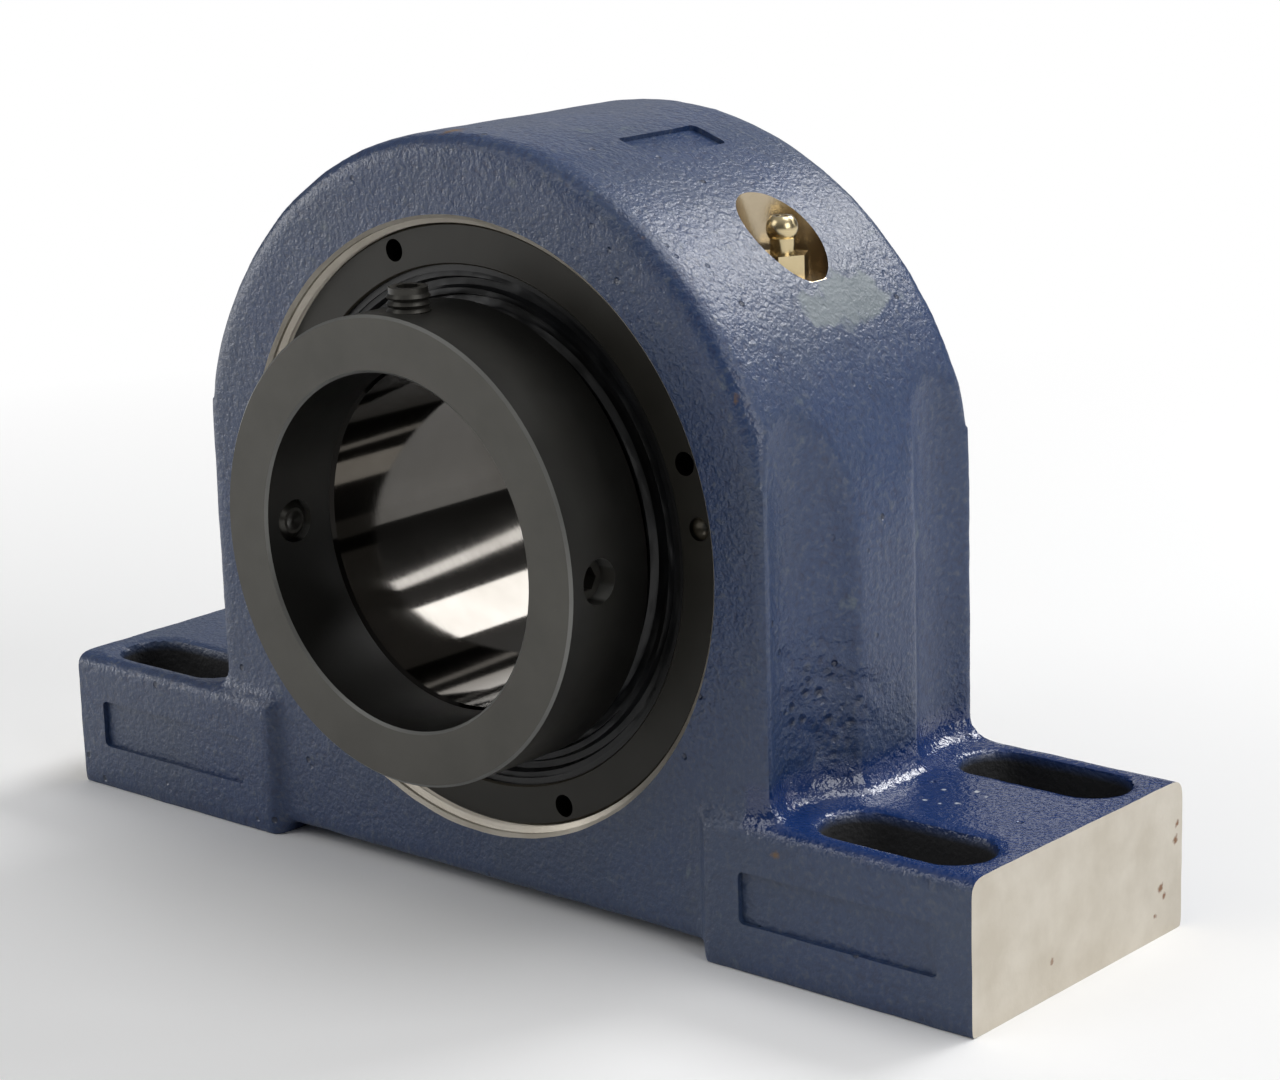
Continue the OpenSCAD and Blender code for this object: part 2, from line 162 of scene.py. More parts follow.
# Pale specks on the right foot (x, y, z, radius)
PALE_SPECKS = (
    (97.6 * MM, 2.4 * MM, FOOT_HEIGHT, 1.0 * MM),
    (104.7 * MM, -2.8 * MM, FOOT_HEIGHT, 1.2 * MM),
    (102.0 * MM, -4.9 * MM, FOOT_HEIGHT, 0.9 * MM),
    (103.9 * MM, 5.4 * MM, FOOT_HEIGHT, 1.0 * MM),
    (107.3 * MM, 4.2 * MM, FOOT_HEIGHT, 1.1 * MM),
    (98.3 * MM, -5.0 * MM, FOOT_HEIGHT, 0.9 * MM),
)

# Colours of the paint and its wear, with painted shade and sheen on its pebbled skin
PAINT_DEEP = (0.008, 0.035, 0.118)
PAINT_PLAIN = (0.013, 0.045, 0.142)
# Darker hollows of the pebbled skin: painted shade
PAINT_HOLLOW_SHADE = (0.006, 0.02, 0.08)
# Paler tops of the pebbled skin: dust and painted sheen
PAINT_DUST_AND_SHEEN = (0.07, 0.09, 0.14)
# Darker blue in the pits and pinholes: painted shade
PAINT_PIT_SHADE = (0.004, 0.012, 0.045)
PAINT_FILM = (0.034, 0.056, 0.1)
PAINT_WET = (0.005, 0.029, 0.135)
PAINT_RUST = (0.15, 0.085, 0.04)
PAINT_SCUFF = (0.15, 0.185, 0.21)
PALE_SPECK = (0.6, 0.62, 0.65)
# Near-black for the walls inside the bolt slots: dirt and painted shade
SLOT_GRIME_AND_SHADE = (0.009, 0.009, 0.01)

# Colours of the bare metals, rubber and floor
IRON_DULL = (0.68, 0.62, 0.52)
IRON_CLEAN = (0.8, 0.745, 0.65)
IRON_RUST = (0.3, 0.16, 0.085)
# Browner, darker, glossier iron inside the grease pocket: oil stain and painted shade
IRON_OILED_AND_SHADED = (0.5, 0.42, 0.3)
# Inner-ring bore steel, kept far darker than the ground steel outside: painted shade
BORE_SHADE_DEEP = (0.08, 0.075, 0.068)
BORE_SHADE_PLAIN = (0.095, 0.09, 0.083)
GROUND_STEEL = (0.42, 0.41, 0.39)
# Near-black on the inner ring's front-facing faces: painted shadow
RING_FRONT_SHADOW = (0.014, 0.013, 0.012)
RUBBER_BLACK = (0.004, 0.004, 0.004)
RUBBER_SMEAR = (0.011, 0.012, 0.014)
FLOOR_SEEN = (0.95, 0.95, 0.95)
FLOOR_BOUNCE = (0.42, 0.42, 0.42)

# Blackened steel: colours of the face, the side and the painted highlight on the chamfers, and roughness of
# the face and side
COLLAR_COLORS = ((0.088, 0.084, 0.073), (0.038, 0.037, 0.033), (0.17, 0.17, 0.16))
COLLAR_ROUGH = (0.46, 0.38)
COVER_COLORS = ((0.024, 0.022, 0.017), (0.012, 0.011, 0.01), (0.07, 0.06, 0.042))
COVER_ROUGH = (0.42, 0.32)
# Share of the side colour left where painted shade darkens it
SHADE_SHARE = 0.3

# Plain metals (name, two colours, two values of roughness, metallic, pieces)
PLAIN_METALS = (
    ("screw_oxide", ((0.035, 0.034, 0.03), (0.06, 0.057, 0.05)), (0.26, 0.4), 0.7,
     ("set_screw_right", "set_screw_top", "set_screw_left")),
    ("bearing_steel", ((0.42, 0.41, 0.4), (0.5, 0.49, 0.47)), (0.12, 0.2), 1.0,
     ("outer_ring", "front_rollers", "rear_rollers", "guide_ring", "grease_ball")),
    ("cage_brass", ((0.5, 0.36, 0.14), (0.58, 0.43, 0.18)), (0.25, 0.36), 1.0,
     ("front_cage", "rear_cage")),
    ("case_steel", ((0.006, 0.006, 0.006), (0.011, 0.011, 0.011)), (0.34, 0.46), 0.0,
     ("front_seal_case", "rear_seal_case")),
    ("bright_brass", ((0.58, 0.47, 0.27), (0.7, 0.59, 0.38)), (0.22, 0.32), 1.0,
     ("grease_fitting",)),
)

# Floor: the shadow stays near the object, and plain white follows further out
FLOOR_SIZE = 8
WHITE_START = 0.24
WHITE_END = 0.6

# Soft boxes (name, direction from the object, distance, size, radiance)
SOFT_BOXES = (
    ("back_window", (0.19, 0.73, 0.66), 1.6, (0.6, 0.5), 11.0),
    ("overhead", (0.32, 0.2, 0.92), 1.5, (0.7, 0.7), 3.6),
    ("back_strip", (0.6, 0.73, 0.33), 1.6, (0.07, 0.7), 7.0),
    ("back_low", (-0.64, 0.73, 0.36), 1.8, (1.0, 0.5), 0.8),
    ("side_fill", (1.0, -0.12, 0.42), 1.7, (0.9, 0.9), 3.0),
    ("front_fill", (-0.94, -0.42, 0.13), 1.9, (1.0, 0.6), 4.0),
    ("front_top", (-0.45, -0.75, 0.65), 1.9, (0.9, 0.9), 1.8),
)
SKY_LOW = 0.06
SKY_RISE = 0.45

# Camera fitted to the photograph
CAMERA_PLACE = (0.47436, -0.51931, 0.25430)
CAMERA_YAW = 41.33
CAMERA_PITCH = 14.49
CAMERA_ROLL = -1.74
CAMERA_LENS = 91.17
SENSOR_WIDTH = 36


# Shader helpers
def new_material(name):
    material = bpy.data.materials.new(name)
    material.use_nodes = True
    tree = material.node_tree
    return material, tree, tree.nodes["Principled BSDF"]


def add(tree, kind, **values):
    """A new node, with its sockets or settings given by name."""
    item = tree.nodes.new(kind)
    for key, value in values.items():
        if key in item.inputs:
            item.inputs[key].default_value = value
        else:
            setattr(item, key, value)
    return item


def feed(tree, socket, value):
    """Link a socket, or set it where the value is a plain number or colour."""
    if isinstance(value, bpy.types.NodeSocket):
        tree.links.new(value, socket)
    elif isinstance(value, tuple):
        socket.default_value = (*value, 1.0)
    else:
        socket.default_value = value


def object_coords(tree):
    return add(tree, "ShaderNodeTexCoord").outputs["Object"]


def object_normal(tree):
    return add(tree, "ShaderNodeTexCoord").outputs["Normal"]


def parts_of(tree, vector):
    """The X, Y and Z outputs of a vector."""
    item = add(tree, "ShaderNodeSeparateXYZ")
    tree.links.new(vector, item.inputs["Vector"])
    return item.outputs


def attribute(tree, name):
    return add(tree, "ShaderNodeAttribute", attribute_name=name).outputs["Fac"]


def noise_value(tree, coords, scale, detail=4.0, roughness=0.55):
    item = add(tree, "ShaderNodeTexNoise", Scale=scale, Detail=detail, Roughness=roughness)
    tree.links.new(coords, item.inputs["Vector"])
    return item.outputs["Fac"]


def cell_distance(tree, coords, scale):
    item = add(tree, "ShaderNodeTexVoronoi", Scale=scale)
    tree.links.new(coords, item.inputs["Vector"])
    return item.outputs["Distance"]


def ramp(tree, source, low, high, start=0.0, end=1.0):
    """A value that runs from start to end while the source runs from low to high."""
    item = add(tree, "ShaderNodeMapRange")
    item.inputs["From Min"].default_value = low
    item.inputs["From Max"].default_value = high
    item.inputs["To Min"].default_value = start
    item.inputs["To Max"].default_value = end
    tree.links.new(source, item.inputs["Value"])
    return item.outputs["Result"]


def calc(tree, operation, first, second=0.0):
    item = add(tree, "ShaderNodeMath", operation=operation)
    feed(tree, item.inputs[0], first)
    feed(tree, item.inputs[1], second)
    return item.outputs["Value"]


def mix_color(tree, factor, first, second):
    item = add(tree, "ShaderNodeMix", data_type="RGBA")
    tree.links.new(factor, item.inputs["Factor"])
    feed(tree, item.inputs[6], first)
    feed(tree, item.inputs[7], second)
    return item.outputs[2]


def mix_value(tree, factor, first, second):
    item = add(tree, "ShaderNodeMix", data_type="FLOAT")
    tree.links.new(factor, item.inputs["Factor"])
    feed(tree, item.inputs[2], first)
    feed(tree, item.inputs[3], second)
    return item.outputs[0]


def scale_color(tree, color, share):
    item = add(tree, "ShaderNodeMix", data_type="RGBA", blend_type="MULTIPLY")
    item.inputs["Factor"].default_value = 1.0
    tree.links.new(color, item.inputs[6])
    tree.links.new(share, item.inputs[7])
    return item.outputs[2]


def bump(tree, height, distance, normal=None):
    item = add(tree, "ShaderNodeBump", Strength=1.0, Distance=distance)
    tree.links.new(height, item.inputs["Height"])
    if normal is not None:
        tree.links.new(normal, item.inputs["Normal"])
    return item.outputs["Normal"]


def turned_coords(tree, stretch):
    """Coordinates that follow the turning of a part: radius, distance along the axis, and angle."""
    place = parts_of(tree, object_coords(tree))
    height = calc(tree, "SUBTRACT", place["Z"], AXIS_Z)
    across = calc(tree, "MULTIPLY", place["X"], place["X"])
    radius = calc(tree, "SQRT", calc(tree, "ADD", across, calc(tree, "MULTIPLY", height, height)))
    angle = calc(tree, "ARCTAN2", height, place["X"])
    join = add(tree, "ShaderNodeCombineXYZ")
    tree.links.new(radius, join.inputs["X"])
    tree.links.new(place["Y"], join.inputs["Y"])
    tree.links.new(calc(tree, "MULTIPLY", angle, stretch), join.inputs["Z"])
    return join.outputs["Vector"]


def worn_mask(tree, name, coords, scale, low, high, breakup):
    """A mask stored on the mesh whose edge is broken up by noise."""
    ragged = calc(tree, "SUBTRACT", noise_value(tree, coords, scale), 0.5)
    edge = calc(tree, "ADD", attribute(tree, name), calc(tree, "MULTIPLY", ragged, breakup))
    return ramp(tree, edge, low, high)


def spots_mask(tree, coords, spots):
    """Ragged spots about the given places."""
    ragged = ramp(tree, noise_value(tree, coords, scale=600.0), 0.3, 0.7, start=-0.6, end=0.2)
    total = 0.0
    for x, y, z, radius in spots:
        reach = add(tree, "ShaderNodeVectorMath", operation="DISTANCE")
        tree.links.new(coords, reach.inputs[0])
        reach.inputs[1].default_value = (x, y, z)
        total = calc(tree, "MAXIMUM", ramp(tree, reach.outputs["Value"], radius, 0.0), total)
    return ramp(tree, calc(tree, "ADD", total, ragged), 0.2, 0.7)


# Materials
def pit_mask(tree, coords):
    """Scattered pinholes all over, and close pocks where the casting is pitted."""
    chosen = ramp(tree, noise_value(tree, coords, scale=60.0, detail=2.0), 0.5, 0.56)
    pinholes = ramp(tree, cell_distance(tree, coords, scale=150.0), 0.13, 0.07)
    pitted = ramp(tree, attribute(tree, "pitted"), 0.25, 0.8)
    pocks = ramp(tree, cell_distance(tree, coords, scale=330.0), 0.42, 0.12)
    pinholes = calc(tree, "MULTIPLY", pinholes, chosen)
    return calc(tree, "MAXIMUM", pinholes, calc(tree, "MULTIPLY", pocks, pitted))


def paint_material():
    material, tree, shader = new_material("blue_paint")
    coords = object_coords(tree)
    broad = noise_value(tree, coords, scale=26.0, detail=3.0)
    pebble = noise_value(tree, coords, scale=700.0, detail=2.0, roughness=0.5)
    grain = noise_value(tree, coords, scale=1700.0, detail=1.0, roughness=0.5)
    haze = noise_value(tree, coords, scale=19.0, detail=4.0, roughness=0.6)
    pits = pit_mask(tree, coords)
    rust = worn_mask(tree, "rust", coords, scale=500.0, low=0.62, high=0.8, breakup=1.0)
    rust = calc(tree, "MAXIMUM", rust, spots_mask(tree, coords, PAINT_SPOTS))
    scuff = worn_mask(tree, "scuff", coords, scale=130.0, low=0.42, high=0.7, breakup=2.4)
    gloss = attribute(tree, "gloss")
    grime_and_shade = attribute(tree, "grime_and_shade")

    color = mix_color(tree, ramp(tree, broad, 0.3, 0.7), PAINT_DEEP, PAINT_PLAIN)
    # Painted shade in the pebble hollows, then dust and painted sheen on the pebble tops
    color = mix_color(tree, ramp(tree, pebble, 0.5, 0.25), color, PAINT_HOLLOW_SHADE)
    color = mix_color(tree, ramp(tree, pebble, 0.53, 0.78), color, PAINT_DUST_AND_SHEEN)
    # Painted shade in the pits and pinholes
    color = mix_color(tree, pits, color, PAINT_PIT_SHADE)
    color = mix_color(tree, ramp(tree, haze, 0.42, 0.68, end=0.5), color, PAINT_FILM)
    color = mix_color(tree, rust, color, PAINT_RUST)
    color = mix_color(tree, scuff, color, PAINT_SCUFF)
    color = mix_color(tree, gloss, color, PAINT_WET)
    color = mix_color(tree, spots_mask(tree, coords, PALE_SPECKS), color, PALE_SPECK)
    # Slot walls go near-black: dirt and painted shade
    color = mix_color(tree, grime_and_shade, color, SLOT_GRIME_AND_SHADE)
    tree.links.new(color, shader.inputs["Base Color"])

    rough = ramp(tree, grain, 0.3, 0.7, start=0.34, end=0.46)
    rough = mix_value(tree, gloss, rough, 0.14)
    rough = mix_value(tree, calc(tree, "MAXIMUM", scuff, rust), rough, 0.55)
    rough = mix_value(tree, grime_and_shade, rough, 0.8)
    tree.links.new(rough, shader.inputs["Roughness"])
    shader.inputs["Specular IOR Level"].default_value = 0.88

    normal = bump(tree, pebble, 0.3 * MM)
    normal = bump(tree, calc(tree, "SUBTRACT", 1.0, pits), 0.35 * MM, normal)
    normal = bump(tree, grain, 0.1 * MM, normal)
    tree.links.new(normal, shader.inputs["Normal"])
    return material


def bare_iron_material():
    material, tree, shader = new_material("machined_iron")
    coords = object_coords(tree)
    broad = noise_value(tree, coords, scale=75.0)
    fine = noise_value(tree, coords, scale=1000.0, detail=2.0)
    pocket_stain_and_shade = attribute(tree, "pocket_stain_and_shade")
    color = mix_color(tree, ramp(tree, broad, 0.35, 0.65), IRON_DULL, IRON_CLEAN)
    color = mix_color(tree, spots_mask(tree, coords, END_SPOTS), color, IRON_RUST)
    # Inside the grease pocket: oil stain and painted shade
    color = mix_color(tree, pocket_stain_and_shade, color, IRON_OILED_AND_SHADED)
    tree.links.new(color, shader.inputs["Base Color"])
    metallic = ramp(tree, pocket_stain_and_shade, 0.0, 1.0, start=0.55, end=0.95)
    tree.links.new(metallic, shader.inputs["Metallic"])
    rough = ramp(tree, broad, 0.3, 0.7, start=0.4, end=0.52)
    tree.links.new(mix_value(tree, pocket_stain_and_shade, rough, 0.24), shader.inputs["Roughness"])
    tree.links.new(bump(tree, fine, 0.03 * MM), shader.inputs["Normal"])
    return material


def metal_material(name, colors, roughness, metallic):
    material, tree, shader = new_material(name)
    coords = object_coords(tree)
    broad = noise_value(tree, coords, scale=55.0)
    fine = noise_value(tree, coords, scale=500.0, detail=2.0)
    color = mix_color(tree, ramp(tree, broad, 0.3, 0.7), colors[0], colors[1])
    tree.links.new(color, shader.inputs["Base Color"])
    shader.inputs["Metallic"].default_value = metallic
    rough = ramp(tree, broad, 0.3, 0.7, start=roughness[0], end=roughness[1])
    tree.links.new(rough, shader.inputs["Roughness"])
    tree.links.new(bump(tree, fine, 0.02 * MM), shader.inputs["Normal"])
    return material


def oxide_material(name, colors, roughness):
    """Blackened steel: satin turned faces and glossier round sides, with painted shade towards the housing
    and in the bore, and a painted highlight on the chamfers.
    """
    face, side, edge = colors
    face_rough, side_rough = roughness
    material, tree, shader = new_material(name)
    coords = object_coords(tree)
    facing = calc(tree, "ABSOLUTE", parts_of(tree, object_normal(tree))["Y"])
    flat = ramp(tree, facing, 0.9, 0.97)
    chamfer_highlight = calc(tree, "MULTIPLY", ramp(tree, facing, 0.3, 0.5), ramp(tree, facing, 0.97, 0.9))
    housing_shade = ramp(tree, parts_of(tree, coords)["Y"], HOUSING_SHADE_START, HOUSING_SHADE_END)
    radius = parts_of(tree, turned_coords(tree, stretch=1.0))["X"]
    inside = ramp(tree, radius, BORE_SHADE_START, BORE_SHADE_END)
    patch = ramp(tree, noise_value(tree, coords, scale=60.0, detail=5.0), 0.3, 0.7, start=0.88, end=1.12)
    smudge = ramp(tree, noise_value(tree, coords, scale=130.0, detail=5.0), 0.3, 0.7, start=-0.04, end=0.05)

    shaded = tuple(SHADE_SHARE * value for value in side)
    # Painted shade towards the housing
    color = mix_color(tree, housing_shade, side, shaded)
    # Painted shade inside the bore
    color = mix_color(tree, inside, color, shaded)
    color = mix_color(tree, flat, color, face)
    # Painted highlight on the chamfers
    color = mix_color(tree, chamfer_highlight, color, edge)
    tree.links.new(scale_color(tree, color, patch), shader.inputs["Base Color"])

    rough = mix_value(tree, flat, side_rough, face_rough)
    tree.links.new(calc(tree, "ADD", rough, smudge), shader.inputs["Roughness"])
    metallic = ramp(tree, flat, 0.0, 1.0, start=0.45, end=0.35)
    tree.links.new(metallic, shader.inputs["Metallic"])
    lines = noise_value(tree, turned_coords(tree, stretch=0.002), scale=1900.0, detail=2.0)
    tree.links.new(bump(tree, lines, 0.008 * MM), shader.inputs["Normal"])
    return material


def rubber_material():
    material, tree, shader = new_material("seal_rubber")
    smear = noise_value(tree, turned_coords(tree, stretch=0.003), scale=420.0, detail=2.0, roughness=0.5)
    streak = noise_value(tree, turned_coords(tree, stretch=0.025), scale=130.0, detail=2.0, roughness=0.5)
    color = mix_color(tree, ramp(tree, streak, 0.4, 0.7), RUBBER_BLACK, RUBBER_SMEAR)
    tree.links.new(color, shader.inputs["Base Color"])
    rough = ramp(tree, smear, 0.35, 0.65, start=0.28, end=0.42)
    tree.links.new(rough, shader.inputs["Roughness"])
    shader.inputs["Specular IOR Level"].default_value = 0.4
    normal = bump(tree, streak, 1.4 * MM)
    tree.links.new(bump(tree, smear, 0.12 * MM, normal), shader.inputs["Normal"])
    return material


def polished_material():
    """Ground steel outside and at the rear, the same steel painted far darker in the bore as painted shade,
    and near-black front-facing faces as a painted shadow.
    """
    material, tree, shader = new_material("polished_steel")
    lines = noise_value(tree, turned_coords(tree, stretch=0.004), scale=2600.0, detail=2.0)
    film = noise_value(tree, object_coords(tree), scale=45.0, detail=3.0)
    facing = parts_of(tree, object_normal(tree))["Y"]
    turned = parts_of(tree, turned_coords(tree, stretch=1.0))
    outside = calc(tree, "GREATER_THAN", turned["X"], BORE_WALL)
    behind = calc(tree, "GREATER_THAN", turned["Y"], 0.0)
    ground = calc(tree, "MAXIMUM", facing, calc(tree, "MULTIPLY", outside, behind))
    ground = ramp(tree, ground, 0.3, 0.6)
    front = ramp(tree, facing, -0.2, -0.5)
    # The bore's steel painted darker: painted shade
    color = mix_color(tree, ramp(tree, film, 0.35, 0.65), BORE_SHADE_DEEP, BORE_SHADE_PLAIN)
    color = mix_color(tree, ground, color, GROUND_STEEL)
    # Painted shadow on the front-facing faces
    color = mix_color(tree, front, color, RING_FRONT_SHADOW)
    tree.links.new(color, shader.inputs["Base Color"])
    shader.inputs["Metallic"].default_value = 1.0
    rough = ramp(tree, lines, 0.3, 0.7, start=0.045, end=0.09)
    tree.links.new(mix_value(tree, ground, rough, 0.24), shader.inputs["Roughness"])
    tree.links.new(bump(tree, lines, 0.0015 * MM), shader.inputs["Normal"])
    return material


# Mesh helpers
def object_from(builder, name):
    bmesh.ops.recalc_face_normals(builder, faces=builder.faces)
    mesh = bpy.data.meshes.new(name)
    builder.to_mesh(mesh)
    builder.free()
    item = bpy.data.objects.new(name, mesh)
    bpy.context.scene.collection.objects.link(item)
    return item


def apply_modifiers(item):
    graph = bpy.context.evaluated_depsgraph_get()
    mesh = bpy.data.meshes.new_from_object(item.evaluated_get(graph))
    item.modifiers.clear()
    item.data = mesh


def mesh_points(layer, field="co"):
    values = np.empty(len(layer) * 3)
    layer.foreach_get(field, values)
    return values.reshape(-1, 3)


def smooth_step(values, low, high):
    share = np.clip((values - low) / (high - low), 0, 1)
    return share * share * (3 - 2 * share)


def lathe(name, profile, place, along_y):
    """A closed turned mesh from (radius, distance) points, about Y or Z through place."""
    builder = bmesh.new()
    rings = []
    for radius, distance in profile:
        ring = []
        for step in range(LATHE_STEPS):
            angle = 2 * math.pi * step / LATHE_STEPS
            side = radius * math.cos(angle)
            lift = radius * math.sin(angle)
            if along_y:
                point = Vector((side, distance, -lift))
            else:
                point = Vector((side, lift, distance))
            ring.append(builder.verts.new(point + Vector(place)))
        rings.append(ring)
    for first, second in zip(rings, rings[1:]):
        for step in range(LATHE_STEPS):
            after = (step + 1) % LATHE_STEPS
            builder.faces.new((first[step], first[after], second[after], second[step]))
    builder.faces.new(list(reversed(rings[0])))
    builder.faces.new(rings[-1])
    return object_from(builder, name)


def recess_cutter(name, size, matrix):
    """A rounded block that sinks one recess. It stands along its own Z, with the floor at z = 0."""
    builder = bmesh.new()
    bmesh.ops.create_cube(builder, size=1)
    bmesh.ops.scale(builder, vec=(size[0], size[1], 4 * RECESS_DEPTH), verts=builder.verts)
    bmesh.ops.translate(builder, vec=(0, 0, 2 * RECESS_DEPTH), verts=builder.verts)
    upright = [edge for edge in builder.edges
               if abs(edge.verts[0].co.z - edge.verts[1].co.z) > RECESS_DEPTH]
    bmesh.ops.bevel(builder, geom=upright, offset=RECESS_CORNER, segments=4, profile=0.5, affect="EDGES")
    bmesh.ops.transform(builder, matrix=matrix, verts=builder.verts)
    return object_from(builder, name)


# Housing
def panel_matrix(side):
    turn = Matrix.Rotation(math.radians(90), 4, "X")
    return Matrix.Translation((side * PANEL_X, FOOT_FRONT + RECESS_DEPTH, PANEL_Z)) @ turn


def mark_matrix():
    turn = Matrix.Rotation(math.radians(90) - MARK_ANGLE, 4, "Y")
    lift = Matrix.Translation((0, MARK_Y, ARCH_RADIUS - RECESS_DEPTH))
    return Matrix.Translation((0, 0, AXIS_Z)) @ turn @ lift


def in_bore(point):
    return math.hypot(point.x, point.z - AXIS_Z) < MOUTH_RADIUS + ROUND_CLOSE


def in_pocket(point):
    near = math.hypot(point.x - POCKET_X, point.y - POCKET_Y) < POCKET_RADIUS + ROUND_CLOSE
    return near and point.z > POCKET_BASE


def in_recess(point, inverse, size):
    local = inverse @ point
    inside = abs(local.x) < size[0] / 2 + RECESS_CLOSE and abs(local.y) < size[1] / 2 + RECESS_CLOSE
    return inside and abs(local.z) < 1.5 * RECESS_DEPTH


def solid_blank():
    """The casting before machining: bores, pocket and recesses closed, feet longer than needed."""
    recesses = [
        (panel_matrix(-1).inverted(), PANEL_SIZE),
        (panel_matrix(1).inverted(), PANEL_SIZE),
        (mark_matrix().inverted(), MARK_SIZE),
    ]
    builder = bmesh.new()
    builder.from_mesh(NODES["housing"].data)
    bmesh.ops.remove_doubles(builder, verts=builder.verts, dist=WELD)
    closed = []
    for face in builder.faces:
        points = [vert.co for vert in face.verts]
        tests = [all(in_bore(point) for point in points), all(in_pocket(point) for point in points)]
        for inverse, size in recesses:
            tests.append(all(in_recess(point, inverse, size) for point in points))
        if any(tests):
            closed.append(face)
    bmesh.ops.delete(builder, geom=closed, context="FACES")
    rims = [edge for edge in builder.edges if edge.is_boundary]
    bmesh.ops.holes_fill(builder, edges=rims, sides=0)
    for vert in builder.verts:
        if abs(vert.co.x) > HALF_LENGTH - END_CLOSE:
            vert.co.x += math.copysign(END_ALLOWANCE, vert.co.x)
    bmesh.ops.triangulate(builder, faces=builder.faces)
    return object_from(builder, "cast_housing")


def soften(item):
    """An even skin with the rounded edges of a casting."""
    remesh = item.modifiers.new("skin", "REMESH")
    remesh.mode = "VOXEL"
    remesh.voxel_size = VOXEL
    smooth = item.modifiers.new("soften", "SMOOTH")
    smooth.factor = 0.5
    smooth.iterations = SMOOTH_STEPS
    apply_modifiers(item)


def roughen(mesh):
    """Lumps of the sand mould all over, and a group of pits low on the right-hand side."""
    points = mesh_points(mesh.vertices)
    normals = mesh_points(mesh.vertex_normals, "vector")
    lift = np.zeros(len(points))
    for size, height in LUMPS:
        lift += height * np.array([noise.noise(Vector(point) / size) for point in points])
    random = np.random.default_rng(PIT_SEED)
    side = points[:, 0] > PIT_SIDE_X
    for _ in range(PIT_COUNT):
        y = random.normal(PIT_PLACE[0], PIT_SPREAD)
        z = random.normal(PIT_PLACE[1], PIT_SPREAD)
        radius = random.uniform(*PIT_RADIUS_MM) * MM
        depth = random.uniform(*PIT_DEPTH_SHARE) * PIT_DEPTH
        spread = ((points[:, 1] - y) ** 2 + (points[:, 2] - z) ** 2) / radius ** 2
        lift -= side * depth * np.exp(-spread)
    points += normals * lift[:, None]
    mesh.vertices.foreach_set("co", points.ravel())
    mesh.update()


def cut_ends(mesh):
    """Saw the feet to length, with flat ends."""
    builder = bmesh.new()
    builder.from_mesh(mesh)
    for side in (-1, 1):
        everything = builder.verts[:] + builder.edges[:] + builder.faces[:]
        bmesh.ops.bisect_plane(builder, geom=everything, plane_co=(side * HALF_LENGTH, 0, 0),
                               plane_no=(side, 0, 0), clear_outer=True)
        rim = [edge for edge in builder.edges if edge.is_boundary]
        bmesh.ops.holes_fill(builder, edges=rim, sides=0)
    builder.to_mesh(mesh)
    builder.free()


def bore_profile():
    front = -BODY_DEPTH / 2
    rear = BODY_DEPTH / 2
    place = front + MOUTH_CHAMFER
    turns = int((RING_FRONT - place) / THREAD_PITCH)
    points = [(MOUTH_RADIUS + CUT_OVERRUN, front - CUT_OVERRUN), (MOUTH_RADIUS - MOUTH_CHAMFER, place)]
    for turn in range(turns):
        points.append((THREAD_RADIUS + THREAD_DEPTH, place + (turn + 0.5) * THREAD_PITCH))
        points.append((THREAD_RADIUS, place + (turn + 1) * THREAD_PITCH))
    points.append((THREAD_RADIUS, RING_FRONT + THREAD_RUNOUT))
    points.append((SEAT_RADIUS, RING_FRONT + THREAD_RUNOUT))
    points.append((SEAT_RADIUS, RING_REAR))
    points.append((REAR_BORE, RING_REAR))
    points.append((REAR_BORE, rear - REAR_CHAMFER))
    points.append((REAR_BORE + REAR_CHAMFER + CUT_OVERRUN, rear + CUT_OVERRUN))
    return points


def pocket_profile():
    thread_end = POCKET_FLOOR - FITTING_DEPTH - FITTING_SPARE
    return [
        (GREASE_HOLE, POCKET_BASE),
        (GREASE_HOLE, thread_end),
        (FITTING_HOLE, thread_end),
        (FITTING_HOLE, POCKET_FLOOR),
        (POCKET_RADIUS, POCKET_FLOOR),
        (POCKET_RADIUS, AXIS_Z + ARCH_RADIUS),
    ]


def machine(item):
    """Cut the bores, the pocket and the recesses with clean edges."""
    cutters = [
        lathe("bore_cutter", bore_profile(), (0, 0, AXIS_Z), along_y=True),
        lathe("pocket_cutter", pocket_profile(), (POCKET_X, POCKET_Y, 0), along_y=False),
        recess_cutter("left_panel_cutter", PANEL_SIZE, panel_matrix(-1)),
        recess_cutter("right_panel_cutter", PANEL_SIZE, panel_matrix(1)),
        recess_cutter("mark_cutter", MARK_SIZE, mark_matrix()),
    ]
    for cutter in cutters:
        step = item.modifiers.new(cutter.name, "BOOLEAN")
        step.object = cutter
        step.operation = "DIFFERENCE"
        step.solver = "MANIFOLD"
    apply_modifiers(item)
    for cutter in cutters:
        bpy.data.objects.remove(cutter)


def is_bare(face):
    """Whether a face was machined after painting: foot ends, bores, and the pocket's floor and wall."""
    middle = face.center
    if abs(middle.x) > HALF_LENGTH - FLAT_CLOSE:
        return True
    outward = Vector((middle.x, 0, middle.z - AXIS_Z))
    radius = outward.length
    if radius < MOUTH_RADIUS - END_CLOSE:
        faces_in = face.normal.dot(outward) < -0.3 * radius
        return middle.y < RING_REAR or (faces_in and radius < REAR_BORE + REAR_BARE_WIDTH)
    if in_pocket(middle):
        return middle.z < POCKET_FLOOR + FLOOR_CLOSE or abs(face.normal.z) < 0.4
    return False


def slot_depth(x, y):
    """How far each point lies inside the outline of a bolt slot, in metres."""
    straight = SLOT_LENGTH / 2 - SLOT_RADIUS
    along = np.maximum(np.abs(np.abs(x) - SLOT_X) - straight, 0)
    across = np.abs(y) - SLOT_Y
    return SLOT_RADIUS - np.hypot(along, across)


